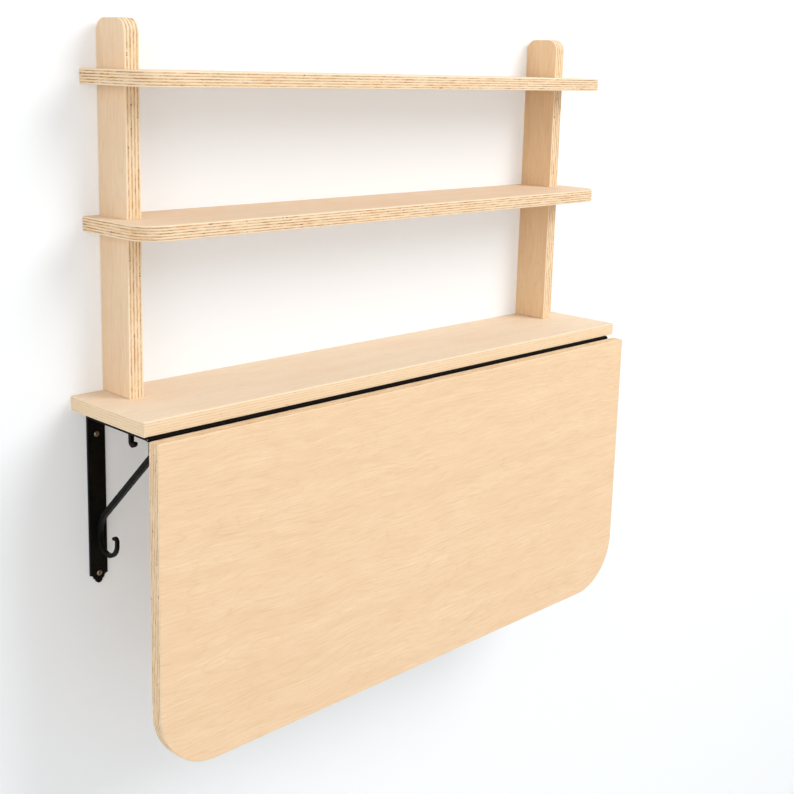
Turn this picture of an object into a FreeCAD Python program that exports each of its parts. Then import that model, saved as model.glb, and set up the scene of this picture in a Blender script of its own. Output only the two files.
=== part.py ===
import FreeCAD, Part
import math
import os
import re
import Sketcher

# Wall mounted drop leaf table with two shelves, in birch plywood on black iron brackets.
# +X runs along the wall to the right, -Y comes out of the wall and +Z is up. The origin is the
# middle of the fixed board's back edge, on the wall. The leaf hangs down at rest.

doc = FreeCAD.newDocument("WallDropLeafTable")
sheet = doc.addObject("Spreadsheet::Sheet", "Sizes")

# Every driving dimension in millimetres (degrees for an angle), one cell each.
SIZES = {
    # plywood
    "ply": 18.0,
    "eased_edge": 1.2,
    "board_length": 886.0,
    "board_depth": 150.0,
    "leaf_inset": 3.5,
    "leaf_height": 405.5,
    "leaf_corner": 80.0,
    "leaf_top_corner": 3.0,
    "upright_ply": 20.0,
    "upright_inset": 43.0,
    "upright_depth": 58.0,
    "upright_rise": 57.0,
    "upright_round": 16.0,
    "shelf_overhang": 22.0,
    "shelf_depth": 125.0,
    "shelf_corner": 32.0,
    "lower_shelf_height": 194.0,
    "upper_shelf_height": 151.0,
    "halving_depth": 29.0,
    "joint_play": 0.1,
    # wall brackets
    "bracket_inset": 31.5,
    "strap_width": 24.0,
    "strap_thickness": 3.0,
    "strap_length": 214.0,
    "strap_step": 5.0,
    "strap_tip_radius": 4.5,
    "strap_tip_drop": 6.5,
    "arm_thickness": 3.0,
    "arm_hinge_gap": 1.0,
    "arm_rib": 12.5,
    "bar_width": 7.0,
    "bar_tip_width": 4.2,
    "foot_run": 30.0,
    "foot_bend": 6.0,
    "brace_slope": 44.0,
    "brace_sweep": 45.0,
    "scroll_radius": 19.0,
    "scroll_rise": 3.0,
    "curl_radius": 3.6,
    "hook_place": 77.5,
    "hook_drop": 26.2,
    "hook_radius": 3.9,
    "hook_rise": 1.5,
    "hook_bar": 6.0,
    "hook_tip": 5.0,
    "weld_gap": 0.05,
    # continuous hinge
    "leaf_gap": 2.0,
    "hinge_left_margin": 4.0,
    "hinge_right_margin": 18.0,
    "hinge_plate": 16.0,
    "hinge_thickness": 1.2,
    "knuckle_radius": 2.5,
    "knuckle_count": 31,
    "knuckle_play": 0.4,
    "knuckle_clearance": 0.3,
    "pin_radius": 1.0,
    "pin_clearance": 0.08,
    "hinge_screw_count": 10,
    "hinge_screw_margin": 47.0,
    "hinge_screw_line": 10.0,
    # folding stays
    "stay_inset": 113.0,
    "stay_reach": 100.0,
    "stay_offset": 10.0,
    "stay_plate": 2.0,
    "stay_plate_width": 18.0,
    "stay_plate_length": 46.0,
    "stay_screw_margin": 8.0,
    "ear_width": 20.0,
    "link_width": 16.0,
    "link_thickness": 2.5,
    "layer_gap": 0.2,
    "rivet_radius": 2.5,
    "rivet_head_radius": 4.2,
    "rivet_head": 1.6,
    "rivet_clearance": 0.08,
    "rivet_seat": 0.02,
    # fasteners
    "screw_clearance": 0.1,
    "pilot_spare": 0.5,
    "cut_margin": 1.0,
    "head_crown": 0.6,
    "head_rim": 0.2,
    "screw_point": 0.35,
    "wall_screw_radius": 2.4,
    "wall_screw_neck": 2.1,
    "wall_screw_neck_spare": 0.5,
    "wall_screw_length": 38.0,
    "wall_screw_head": 3.6,
    "wall_screw_first": 34.0,
    "wall_screw_last": 2.0,
    "arm_screw_radius": 2.0,
    "arm_screw_length": 12.0,
    "arm_screw_head": 3.5,
    "arm_screw_first": 32.0,
    "arm_screw_last": 37.0,
    "small_screw_radius": 1.5,
    "small_screw_length": 10.0,
    "small_screw_head": 2.8,
    "long_screw_radius": 2.2,
    "long_screw_head": 4.4,
    "upright_screw_length": 48.0,
    "upright_screw_margin": 14.0,
    "shelf_screw_length": 52.0,
}

for line, (alias, number) in enumerate(SIZES.items(), start=1):
    sheet.set(f"A{line}", alias.replace("_", " "))
    sheet.set(f"B{line}", str(number))
    sheet.setAlias(f"B{line}", alias)
doc.recompute()


def named(text):
    """Expression text with each size's name made to read its cell."""
    return re.sub(r"[a-z_]+", lambda m: ("Sizes." if m[0] in SIZES else "") + m[0], text)


def size(text):
    """Number that an expression gives now."""
    return float(sheet.evalExpression(named(text)))


# Two lengths closer than this are one, in millimetres.
SAME = 1e-4


# Places that several pieces share, as expressions.
UNDERSIDE = "(-ply / 2)"
AXIS_Y = "(-board_depth - leaf_gap / 2)"
AXIS_DROP = "(knuckle_radius + knuckle_clearance)"
AXIS_Z = f"({UNDERSIDE} - {AXIS_DROP})"
BRACKET_X = "(board_length / 2 - bracket_inset)"
UPRIGHT_X = "(board_length / 2 - upright_inset - upright_ply / 2)"
STAY_X = "(board_length / 2 - stay_inset)"
LEAF_LENGTH = "(board_length - 2 * leaf_inset)"
SHELF_PITCH = "(ply + upper_shelf_height)"
UPRIGHT_HEIGHT = f"(lower_shelf_height + {SHELF_PITCH} + ply + upright_rise)"
SHELF_LENGTH = f"(2 * {UPRIGHT_X} + upright_ply + 2 * shelf_overhang)"
SHELF_TONGUE = "(upright_depth - halving_depth)"
ARM_LENGTH = "(board_depth + leaf_gap / 2 - hinge_plate - arm_hinge_gap)"
HINGE_LENGTH = "(board_length - hinge_left_margin - hinge_right_margin)"
HINGE_SHIFT = "((hinge_right_margin - hinge_left_margin) / 2)"
HINGE_SCREW_PITCH = f"(({HINGE_LENGTH} - 2 * hinge_screw_margin) / (hinge_screw_count - 1))"
FIRST_HINGE_SCREW = f"(-{HINGE_SHIFT} - {HINGE_LENGTH} / 2 + hinge_screw_margin)"
STAY_SCREW_PITCH = "(stay_plate_length - 2 * stay_screw_margin)"
WALL_SCREW_PITCH = "(strap_length - wall_screw_first - wall_screw_last)"
ARM_SCREW_PITCH = f"({ARM_LENGTH} - arm_screw_first - arm_screw_last)"
UPRIGHT_SCREW_PITCH = "(upright_depth - 2 * upright_screw_margin)"
PILOT_DEPTH = "(small_screw_length + pilot_spare)"
LONG_SCREW_HOLE = "long_screw_radius + screw_clearance"
SMALL_SCREW_HOLE = "small_screw_radius + screw_clearance"
LOWER_SHELF_Z = "(ply / 2 + lower_shelf_height)"
UPPER_SHELF_Z = f"({LOWER_SHELF_Z} + {SHELF_PITCH})"


# ---------------------------------------------------------------- drawing helpers


def new_body(label, x="0", y="0", z="0"):
    body = doc.addObject("PartDesign::Body", label.title().replace("_", ""))
    body.Label = label
    for axis, place in zip("xyz", (x, y, z)):
        body.setExpression("Placement.Base." + axis, named(place))
    return body


def origin_part(body, role):
    return next(f for f in body.Origin.OriginFeatures if f.Role == role)


def new_sketch(body, name, plane, lift="0"):
    sketch = body.newObject("Sketcher::SketchObject", body.Name + name)
    sketch.AttachmentSupport = [(origin_part(body, plane + "_Plane"), "")]
    sketch.MapMode = "FlatFace"
    sketch.setExpression("AttachmentOffset.Base.z", named(lift))
    return sketch


def hold(sketch, kind, places, text):
    """Constraint whose value follows an expression."""
    index = sketch.addConstraint(Sketcher.Constraint(kind, *places, size(text)))
    sketch.setExpression(f"Constraints[{index}]", named(text))


def arc_between(start, end, radius, side):
    """Short arc from start to end whose centre lies on the given side of the chord (1 is left)."""
    chord = end - start
    rise = math.sqrt(max(radius**2 - (chord.Length / 2) ** 2, 0.0))
    across = FreeCAD.Vector(-chord.y, chord.x, 0).normalize()
    centre = (start + end) / 2 + across * rise * side
    first, last = (start, end) if side > 0 else (end, start)
    angles = [math.atan2((p - centre).y, (p - centre).x) for p in (first, last)]
    circle = Part.Circle(centre, FreeCAD.Vector(0, 0, 1), radius)
    return Part.ArcOfCircle(circle, *angles)


def contour(sketch, corners):
    """Closed outline. A corner is (x, y), or (x, y, radius, side) where an arc leaves it."""
    points = [FreeCAD.Vector(size(c[0]), size(c[1]), 0) for c in corners]
    ends = []
    for i, corner in enumerate(corners):
        start, end = points[i], points[(i + 1) % len(points)]
        if len(corner) == 2:
            edge = sketch.addGeometry(Part.LineSegment(start, end), False)
            ends.append((edge, 1, 2))
        else:
            radius, side = corner[2:]
            arc = arc_between(start, end, size(radius), side)
            edge = sketch.addGeometry(arc, False)
            ends.append((edge, 1, 2) if side > 0 else (edge, 2, 1))
    for i, (edge, _, last) in enumerate(ends):
        after, first, _ = ends[(i + 1) % len(ends)]
        sketch.addConstraint(Sketcher.Constraint("Coincident", edge, last, after, first))
    for corner, (edge, first, _) in zip(corners, ends):
        hold(sketch, "DistanceX", (-1, 1, edge, first), corner[0])
        hold(sketch, "DistanceY", (-1, 1, edge, first), corner[1])
        if len(corner) > 2:
            hold(sketch, "Radius", (edge,), corner[2])


def box_outline(sketch, x0, y0, x1, y1):
    contour(sketch, [(x0, y0), (x1, y0), (x1, y1), (x0, y1)])


def circle_outline(sketch, x, y, radius):
    centre = FreeCAD.Vector(size(x), size(y), 0)
    ring = Part.Circle(centre, FreeCAD.Vector(0, 0, 1), size(radius))
    edge = sketch.addGeometry(ring, False)
    hold(sketch, "DistanceX", (-1, 1, edge, 3), x)
    hold(sketch, "DistanceY", (-1, 1, edge, 3), y)
    hold(sketch, "Radius", (edge,), radius)


def pad(body, sketch, length, midplane=False):
    feature = body.newObject("PartDesign::Pad", sketch.Name + "Pad")
    feature.Profile = sketch
    feature.Midplane = midplane
    feature.setExpression("Length", named(length))
    sketch.Visibility = False
    doc.recompute()
    return feature


def pocket(body, sketch, length, towards_normal=False):
    """Cut from the sketch's plane, against its normal unless towards_normal."""
    before = body.Shape.Volume
    feature = body.newObject("PartDesign::Pocket", sketch.Name + "Pocket")
    feature.Profile = sketch
    feature.Reversed = towards_normal
    feature.setExpression("Length", named(length))
    doc.recompute()
    if body.Shape.Volume > before - SAME:
        raise ValueError(sketch.Name + " cuts nothing")
    return feature


def turned(body, sketch, axis="V_Axis", cut=False):
    """Solid of revolution, or the groove it cuts."""
    kind = "Groove" if cut else "Revolution"
    feature = body.newObject("PartDesign::" + kind, sketch.Name + kind)
    feature.Profile = sketch
    feature.ReferenceAxis = (sketch, [axis])
    feature.Angle = 360
    doc.recompute()
    return feature


def repeat(body, features, *rows):
    """Row of the features, or a grid: each row is an origin axis (-Y for backwards), the pitch
    and how many."""
    pattern = body.newObject("PartDesign::LinearPattern", features[0].Name + "Row")
    pattern.Originals = features
    for end, (axis, pitch, count) in zip(("", "2"), rows):
        setattr(pattern, "Direction" + end, (origin_part(body, axis[-1] + "_Axis"), [""]))
        setattr(pattern, "Reversed" + end, axis[0] == "-")
        pattern.setExpression("Length" + end, named(f"({pitch}) * (({count}) - 1)"))
        pattern.setExpression("Occurrences" + end, named(count))
    body.Tip = pattern
    doc.recompute()
    return pattern


def fillet(body, wanted, radius):
    """Rounds the edges of the body's tip that the test picks out."""
    base = body.Tip
    names = [f"Edge{i}" for i, edge in enumerate(base.Shape.Edges, start=1) if wanted(edge)]
    feature = body.newObject("PartDesign::Fillet", body.Name + "Fillet")
    feature.Base = (base, names)
    feature.setExpression("Radius", named(radius))
    body.Tip = feature
    doc.recompute()
    return feature


def along(edge, direction):
    """Whether a straight edge runs along the direction."""
    if not isinstance(edge.Curve, Part.Line):
        return False
    return abs(edge.tangentAt(edge.FirstParameter).dot(direction)) > 1 - SAME


def rim(axis, *levels):
    """Test for the edges that lie in one of the planes axis = level."""

    def test(edge):
        box = edge.BoundBox
        low, high = getattr(box, axis + "Min"), getattr(box, axis + "Max")
        return any(abs(low - v) < SAME and abs(high - v) < SAME for v in levels)

    return test


def drill(body, name, plane, lift, x, y, radius, depth, towards_normal=False):
    """Round hole from a level of one origin plane."""
    sketch = new_sketch(body, name, plane, lift)
    circle_outline(sketch, x, y, radius)
    return pocket(body, sketch, depth, towards_normal)


# ---------------------------------------------------------------- plywood boards


def fixed_board():
    """Back section of the table top, with the holes for what is screwed to it from below."""
    body = new_body("fixed_board")
    plan = new_sketch(body, "Plan", "XY", "-ply / 2")
    box_outline(plan, "-board_length / 2", "-board_depth", "board_length / 2", "0")
    pad(body, plan, "ply")
    half = size("ply / 2")
    front = rim("Y", -size("board_depth"))
    ends = rim("X", -size("board_length / 2"), size("board_length / 2"))
    faces = rim("Z", -half, half)
    fillet(body, lambda e: front(e) or (ends(e) and faces(e)), "eased_edge")
    upright_holes = drill(
        body, "UprightHole", "XY", "-ply / 2", f"-{UPRIGHT_X}", "-upright_screw_margin",
        LONG_SCREW_HOLE, "ply", True,
    )
    repeat(body, [upright_holes], ("X", f"2 * {UPRIGHT_X}", "2"), ("-Y", UPRIGHT_SCREW_PITCH, "2"))
    sink = new_sketch(body, "Sink", "XZ", "upright_screw_margin")
    countersink(sink, f"-{UPRIGHT_X}", UNDERSIDE)
    sunk = body.newObject("PartDesign::Groove", "UprightSink")
    sunk.Profile = sink
    sunk.ReferenceAxis = (sink, ["Axis0"])
    sunk.Angle = 360
    doc.recompute()
    repeat(body, [sunk], ("X", f"2 * {UPRIGHT_X}", "2"), ("-Y", UPRIGHT_SCREW_PITCH, "2"))
    pilots = drill(
        body, "HingePilot", "XY", "-ply / 2", FIRST_HINGE_SCREW,
        f"{AXIS_Y} + hinge_screw_line", SMALL_SCREW_HOLE,
        PILOT_DEPTH, True,
    )
    repeat(body, [pilots], ("X", HINGE_SCREW_PITCH, "hinge_screw_count"))
    pilots = drill(
        body, "ArmPilot", "XY", "-ply / 2", f"-{BRACKET_X}", "-arm_screw_first",
        "arm_screw_radius + screw_clearance", "arm_screw_length - arm_thickness + pilot_spare", True,
    )
    repeat(body, [pilots], ("X", f"2 * {BRACKET_X}", "2"), ("-Y", ARM_SCREW_PITCH, "2"))
    for side, name in SIDES:
        pilots = drill(
            body, "StayPilot" + name.title(), "XY", "-ply / 2", stay_screw_x(side, 0),
            f"{AXIS_Y} + stay_reach - {STAY_SCREW_PITCH} / 2",
            SMALL_SCREW_HOLE, PILOT_DEPTH, True,
        )
        repeat(body, [pilots], ("Y", STAY_SCREW_PITCH, "2"))
    return body


def countersink(sketch, x, y):
    """Triangle beside a vertical construction line, turned to cut a screw head's cone upwards."""
    centre, level = size(x), size(y)
    reach = size("long_screw_head")
    line = Part.LineSegment(
        FreeCAD.Vector(centre, level, 0), FreeCAD.Vector(centre, level + reach, 0)
    )
    edge = sketch.addGeometry(line, True)
    hold(sketch, "DistanceX", (-1, 1, edge, 1), x)
    hold(sketch, "DistanceY", (-1, 1, edge, 1), y)
    hold(sketch, "DistanceX", (-1, 1, edge, 2), x)
    hold(sketch, "DistanceY", (edge, 1, edge, 2), "long_screw_head")
    wide = "(long_screw_head + screw_clearance)"
    contour(sketch, [(x, y), (f"{x} + {wide}", y), (x, f"{y} + {wide}")])


SIDES = ((-1, "left"), (1, "right"))


def stay_layer(layer):
    """Distance from a stay's middle to one of its four layers, towards the table's middle."""
    starts = {
        0: "0",
        1: "(stay_plate + layer_gap)",
        2: "(stay_plate + link_thickness + 2 * layer_gap)",
        3: "(stay_plate + 2 * link_thickness + 3 * layer_gap)",
    }
    return starts[layer]


def stay_screw_x(side, layer):
    """X of the screws of a stay's board plate (layer 0) or leaf plate (layer 3)."""
    inward = {
        0: "(stay_plate - stay_plate_width / 2)",
        3: f"({stay_layer(3)} + stay_plate_width / 2)",
    }[layer]
    return f"({side} * ({STAY_X} - {inward}))"


def upright(side, name):
    """Board on edge that stands on the fixed board, its top corners rounded, its front notched
    to halve with each shelf, with a screw into each shelf from the back."""
    body = new_body("upright_" + name, f"{side} * {UPRIGHT_X}", "0", "ply / 2")
    profile = new_sketch(body, "Side", "YZ")
    contour(profile, [
        ("0", "0"),
        ("0", f"{UPRIGHT_HEIGHT} - upright_round", "upright_round", 1),
        ("-upright_round", UPRIGHT_HEIGHT),
        ("-upright_depth + upright_round", UPRIGHT_HEIGHT, "upright_round", 1),
        ("-upright_depth", f"{UPRIGHT_HEIGHT} - upright_round"),
        ("-upright_depth", "0"),
    ])
    pad(body, profile, "upright_ply", midplane=True)
    half = size("upright_ply / 2")
    fillet(body, rim("X", -half, half), "eased_edge")
    notch = new_sketch(body, "Notch", "YZ", "-upright_ply / 2 - cut_margin")
    low = "(lower_shelf_height - joint_play)"
    box_outline(
        notch, "-upright_depth - cut_margin", low,
        f"-{SHELF_TONGUE} + joint_play", f"{low} + ply + 2 * joint_play",
    )
    cut = pocket(body, notch, "upright_ply + 2 * cut_margin", True)
    repeat(body, [cut], ("Z", SHELF_PITCH, "2"))
    bore = new_sketch(body, "ShelfBore", "XZ")
    circle_outline(bore, "0", "lower_shelf_height + ply / 2", LONG_SCREW_HOLE)
    cut = pocket(body, bore, f"{SHELF_TONGUE} + cut_margin", True)
    repeat(body, [cut], ("Z", SHELF_PITCH, "2"))
    sink = new_sketch(body, "Sink", "XY", "lower_shelf_height + ply / 2")
    wide = "(long_screw_head + screw_clearance)"
    contour(sink, [("0", "0"), ("0", f"-{wide}"), (wide, "0")])
    sunk = turned(body, sink, "V_Axis", cut=True)
    repeat(body, [sunk], ("Z", SHELF_PITCH, "2"))
    pilots = drill(
        body, "FootPilot", "XY", "0", "0", "-upright_screw_margin",
        LONG_SCREW_HOLE, "upright_screw_length - ply + pilot_spare", True,
    )
    repeat(body, [pilots], ("-Y", UPRIGHT_SCREW_PITCH, "2"))
    return body


def shelf(label, level):
    """Shelf with round front corners, slotted from the back to halve with the uprights."""
    body = new_body(label, z=level)
    plan = new_sketch(body, "Plan", "XY")
    half = f"({SHELF_LENGTH} / 2)"
    contour(plan, [
        (f"-{half}", "0"),
        (f"-{half}", "-shelf_depth + shelf_corner", "shelf_corner", 1),
        (f"-{half} + shelf_corner", "-shelf_depth"),
        (f"{half} - shelf_corner", "-shelf_depth", "shelf_corner", 1),
        (half, "-shelf_depth + shelf_corner"),
        (half, "0"),
    ])
    pad(body, plan, "ply")
    back = rim("Y", 0.0)
    faces = rim("Z", 0.0, size("ply"))
    fillet(body, lambda e: faces(e) and not back(e), "eased_edge")
    slot = new_sketch(body, "Slot", "XY", "-cut_margin")
    wide = "(upright_ply / 2 + joint_play)"
    box_outline(
        slot, f"-{UPRIGHT_X} - {wide}", f"-{SHELF_TONGUE}", f"-{UPRIGHT_X} + {wide}", "cut_margin",
    )
    cut = pocket(body, slot, "ply + 2 * cut_margin", True)
    repeat(body, [cut], ("X", f"2 * {UPRIGHT_X}", "2"))
    bore = new_sketch(body, "Pilot", "XZ", SHELF_TONGUE)
    circle_outline(bore, f"-{UPRIGHT_X}", "ply / 2", LONG_SCREW_HOLE)
    cut = pocket(body, bore, f"shelf_screw_length - {SHELF_TONGUE} + pilot_spare", True)
    repeat(body, [cut], ("X", f"2 * {UPRIGHT_X}", "2"))
    return body


def drop_leaf():
    """Hanging leaf. Its frame is on the hinge axis; its back face and top edge keep clear of it."""
    body = new_body("drop_leaf", "0", AXIS_Y, AXIS_Z)
    face = new_sketch(body, "Face", "XZ", AXIS_DROP)
    half, top = f"({LEAF_LENGTH} / 2)", "(-leaf_gap / 2)"
    foot = "(-leaf_gap / 2 - leaf_height)"
    contour(face, [
        (f"-{half}", f"{foot} + leaf_corner", "leaf_corner", 1),
        (f"-{half} + leaf_corner", foot),
        (f"{half} - leaf_corner", foot, "leaf_corner", 1),
        (half, f"{foot} + leaf_corner"),
        (half, f"{top} - leaf_top_corner", "leaf_top_corner", 1),
        (f"{half} - leaf_top_corner", top),
        (f"-{half} + leaf_top_corner", top, "leaf_top_corner", 1),
        (f"-{half}", f"{top} - leaf_top_corner"),
    ])
    pad(body, face, "ply")
    back = size(f"-{AXIS_DROP}")
    fillet(body, rim("Y", back, back - size("ply")), "eased_edge")
    pilots = drill(
        body, "HingePilot", "XZ", AXIS_DROP, FIRST_HINGE_SCREW, "-hinge_screw_line",
        SMALL_SCREW_HOLE, PILOT_DEPTH, True,
    )
    repeat(body, [pilots], ("X", HINGE_SCREW_PITCH, "hinge_screw_count"))
    for side, name in SIDES:
        pilots = drill(
            body, "StayPilot" + name.title(), "XZ", AXIS_DROP, stay_screw_x(side, 3),
            f"-stay_reach + {STAY_SCREW_PITCH} / 2",
            SMALL_SCREW_HOLE, PILOT_DEPTH, True,
        )
        repeat(body, [pilots], ("-Z", STAY_SCREW_PITCH, "2"))
    return body


# ---------------------------------------------------------------- wall brackets


def bracket_strap(side, name):
    """Flat strap on the wall, its foot stepped in by two hollow curves to a round tip."""
    body = new_body("bracket_strap_" + name, f"{side} * {BRACKET_X}", "0", UNDERSIDE)
    face = new_sketch(body, "Face", "XZ")
    half, low = "(strap_width / 2)", "(-strap_length)"
    neck, rest = f"({half} - strap_step)", "(-strap_length - strap_step)"
    tip = "strap_tip_radius"
    contour(face, [
        (f"-{half}", "0"),
        (f"-{half}", low, "strap_step", -1),
        (f"-{neck}", rest),
        (f"-{tip}", "-strap_length - strap_tip_drop", tip, 1),
        ("0", "-strap_length - strap_tip_drop - strap_tip_radius", tip, 1),
        (tip, "-strap_length - strap_tip_drop"),
        (neck, rest, "strap_step", -1),
        (half, low),
        (half, "0"),
    ])
    pad(body, face, "strap_thickness")
    hole = drill(
        body, "Hole", "XZ", "0", "0", "-wall_screw_first",
        "wall_screw_radius + screw_clearance", "strap_thickness", True,
    )
    repeat(body, [hole], ("-Z", WALL_SCREW_PITCH, "2"))
    return body


def bracket_arm(side, name):
    """Angle section under the board: a flat flange with a rib down its outer edge."""
    body = new_body("bracket_arm_" + name, f"{side} * {BRACKET_X}", "0", UNDERSIDE)
    end = new_sketch(body, "End", "XZ", "strap_thickness")
    outer, inner = f"{side} * strap_width / 2", f"{-side} * strap_width / 2"
    rib = f"{side} * (strap_width / 2 - arm_thickness)"
    corners = [
        (outer, "0"), (outer, "-arm_rib"), (rib, "-arm_rib"), (rib, "-arm_thickness"),
        (inner, "-arm_thickness"), (inner, "0"),
    ]
    contour(end, corners if side < 0 else corners[::-1])
    pad(body, end, f"{ARM_LENGTH} - strap_thickness")
    front = rim("Y", -size(ARM_LENGTH))
    up, thin = FreeCAD.Vector(0, 0, 1), size("arm_thickness")

    def corner(edge):
        return front(edge) and along(edge, up) and abs(edge.Length - thin) < SAME

    fillet(body, corner, "arm_thickness")
    hole = drill(
        body, "Hole", "XY", "0", "0", "-arm_screw_first",
        "arm_screw_radius + screw_clearance", "arm_thickness",
    )
    repeat(body, [hole], ("-Y", ARM_SCREW_PITCH, "2"))
    return body


def square(centre, across, height, width):
    """Square wire about a point, its sides along X and along the given direction."""
    x = FreeCAD.Vector(width / 2, 0, 0)
    z = FreeCAD.Vector(across).normalize() * (height / 2)
    corners = [centre + x + z, centre - x + z, centre - x - z, centre + x - z]
    return Part.makePolygon(corners + corners[:1])


def bent_bar(start, heading, bends, first, last):
    """Bar of square section along straight runs and tangent arcs in the Y-Z plane.

    bends lists (run, radius, turn in degrees, left positive); the section goes evenly along the
    path from the first width to the last.
    """
    point, angle, edges = start, math.radians(heading), []

    def direction(a):
        return FreeCAD.Vector(0, math.cos(a), math.sin(a))

    for run, radius, turn in bends:
        if run:
            after = point + direction(angle) * run
            edges.append(Part.LineSegment(point, after).toShape())
            point = after
        if turn:
            sign = math.copysign(1, turn)
            centre = point + direction(angle + sign * math.pi / 2) * radius
            swing = math.radians(turn)
            middle = centre + direction(angle - sign * math.pi / 2 + swing / 2) * radius
            after = centre + direction(angle - sign * math.pi / 2 + swing) * radius
            edges.append(Part.Arc(point, middle, after).toShape())
            point, angle = after, angle + swing
    spine = Part.Wire(edges)
    half_turn = math.pi / 2
    sections = [
        square(start, direction(math.radians(heading) + half_turn), first, first),
        square(point, direction(angle + half_turn), last, last),
    ]
    return spine.makePipeShell(sections, True, False)


def shaped(label, shape, x, y, z):
    """Forged piece drawn by its path, placed from the sheet."""
    piece = doc.addObject("Part::Feature", label.title().replace("_", ""))
    piece.Label = label
    piece.Shape = shape
    for axis, place in zip("xyz", (x, y, z)):
        piece.setExpression("Placement.Base." + axis, named(place))
    return piece


def bracket_brace(side, name):
    """Square bar: a foot under the arm, a bend, the straight brace down to the strap, a sweep
    down along it, and a scroll drawn out thinner that comes forward and ends in a small curl."""
    bar, tip = size("bar_width"), size("bar_tip_width")
    slope = math.radians(size("brace_slope"))
    bend, sweep, scroll, curl = (
        size(s) for s in ("foot_bend", "brace_sweep", "scroll_radius", "curl_radius")
    )
    sweep_turn = math.pi / 2 - slope
    drawn_out = sweep * sweep_turn + math.pi * scroll + size("scroll_rise") + math.pi * curl
    at_strap = bar + (tip - bar) * sweep * sweep_turn / drawn_out
    strap_y = -size("strap_thickness") - at_strap / 2 - size("weld_gap")
    foot_z = -size("arm_thickness") - bar / 2
    start = FreeCAD.Vector(0, -size(f"{ARM_LENGTH} - foot_run"), foot_z)
    turn_at = FreeCAD.Vector(0, -size(ARM_LENGTH), foot_z)
    normal = FreeCAD.Vector(0, math.sin(slope), math.cos(slope))
    bend_centre = turn_at - FreeCAD.Vector(0, 0, bend)
    leaves = bend_centre - normal * bend
    level = (normal.dot(leaves) - sweep - normal.y * (strap_y - sweep)) / normal.z
    meets = FreeCAD.Vector(0, strap_y - sweep, level) + normal * sweep
    brace = (meets - leaves).Length
    upper = bent_bar(start, 180, [
        (size("foot_run"), bend, 180 - math.degrees(slope)),
        (brace, 0, 0),
    ], bar, bar)
    lower = bent_bar(meets, -math.degrees(slope), [
        (0, sweep, -math.degrees(sweep_turn)),
        (0, scroll, -180),
        (size("scroll_rise"), curl, -180),
    ], bar, tip)
    forged = upper.fuse(lower).removeSplitter()
    return shaped("bracket_brace_" + name, forged, f"{side} * {BRACKET_X}", "0", UNDERSIDE)


def bracket_hook(side, name):
    """Short bar under the arm that turns up forwards as a hook."""
    top = FreeCAD.Vector(0, -size("hook_place"), -size("arm_thickness"))
    bends = [
        (size("hook_drop - arm_thickness"), size("hook_radius"), -180),
        (size("hook_rise"), 0, 0),
    ]
    hook = bent_bar(top, -90, bends, size("hook_bar"), size("hook_tip"))
    return shaped("bracket_hook_" + name, hook, f"{side} * {BRACKET_X}", "0", UNDERSIDE)


# ---------------------------------------------------------------- continuous hinge

PITCH = f"({HINGE_LENGTH} / knuckle_count)"


def hinge_plate(label, on_board):
    """Hinge half: a strip with knuckles at every other place along it, bored for the pin."""
    body = new_body(label, f"-{HINGE_SHIFT}", AXIS_Y, AXIS_Z)
    plane = "XY" if on_board else "XZ"
    side = "1" if on_board else "-1"
    first = "0" if on_board else "1"
    count = "(floor((knuckle_count + 1) / 2))" if on_board else "(floor(knuckle_count / 2))"
    lift = f"{AXIS_DROP} - hinge_thickness"
    strip = new_sketch(body, "Strip", plane, lift)
    ends = (f"-{HINGE_LENGTH} / 2", f"{HINGE_LENGTH} / 2")
    edges = (AXIS_DROP, "hinge_plate") if on_board else ("-hinge_plate", f"-{AXIS_DROP}")
    box_outline(strip, ends[0], edges[0], ends[1], edges[1])
    pad(body, strip, "hinge_thickness")
    lug = new_sketch(body, "Lug", plane, lift)
    left = f"(-{HINGE_LENGTH} / 2 + {PITCH} * {first} + knuckle_play / 2)"
    right = f"({left} + {PITCH} - knuckle_play)"
    reach = f"{side} * ({AXIS_DROP} + cut_margin)"
    low, high = ("0", reach) if on_board else (reach, "0")
    box_outline(lug, left, low, right, high)
    lug_pad = pad(body, lug, "hinge_thickness")
    barrel = new_sketch(body, "Barrel", "YZ", left)
    circle_outline(barrel, "0", "0", "knuckle_radius")
    barrel_pad = pad(body, barrel, f"{PITCH} - knuckle_play")
    repeat(body, [lug_pad, barrel_pad], ("X", f"2 * {PITCH}", count))
    bore = new_sketch(body, "Bore", "YZ", f"-{HINGE_LENGTH} / 2 - cut_margin")
    circle_outline(bore, "0", "0", "pin_radius + pin_clearance")
    pocket(body, bore, f"{HINGE_LENGTH} + 2 * cut_margin", True)
    hole = drill(
        body, "Hole", plane, lift, f"{FIRST_HINGE_SCREW} + {HINGE_SHIFT}",
        f"{side} * hinge_screw_line", SMALL_SCREW_HOLE,
        "hinge_thickness", True,
    )
    repeat(body, [hole], ("X", HINGE_SCREW_PITCH, "hinge_screw_count"))
    return body


def hinge_pin():
    """Long pin through every knuckle."""
    pin = doc.addObject("Part::Cylinder", "HingePin")
    pin.Label = "hinge_pin"
    pin.setExpression("Radius", named("pin_radius"))
    pin.setExpression("Height", named(HINGE_LENGTH))
    pin.Placement = FreeCAD.Placement(
        FreeCAD.Vector(), FreeCAD.Rotation(FreeCAD.Vector(0, 1, 0), 90)
    )
    for axis, place in zip("xyz", (f"-{HINGE_SHIFT} - {HINGE_LENGTH} / 2", AXIS_Y, AXIS_Z)):
        pin.setExpression("Placement.Base." + axis, named(place))
    return pin


# ---------------------------------------------------------------- folding stays


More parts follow.
